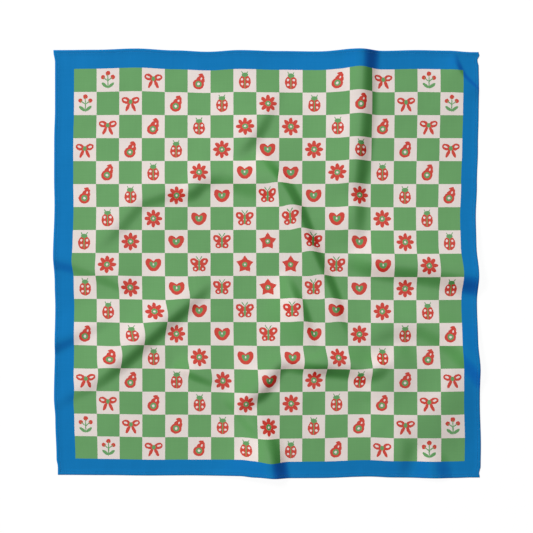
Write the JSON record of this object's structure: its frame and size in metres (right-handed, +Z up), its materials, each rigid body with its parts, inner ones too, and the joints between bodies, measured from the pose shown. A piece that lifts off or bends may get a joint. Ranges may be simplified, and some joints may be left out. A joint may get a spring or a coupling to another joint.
{
  "type": "open square bandana",
  "caption": "Square cotton bandana, hemmed all round and laid out open with soft creases, with a plain border round a printed check.",
  "frame": {"origin": "on the surface the cloth lies on, under the middle of its box", "axes": "+X to the right of the print, +Y to the print's top edge, +Z up out of the printed face"},
  "size_m": [0.5634, 0.5662, 0.0113],
  "materials": {
    "printed_cotton": "matt plain-weave cotton, printed in green and cream checks inside a blue border"
  },
  "bodies": {
    "root": {"bandana": "printed_cotton"}
  },
  "joints": []
}
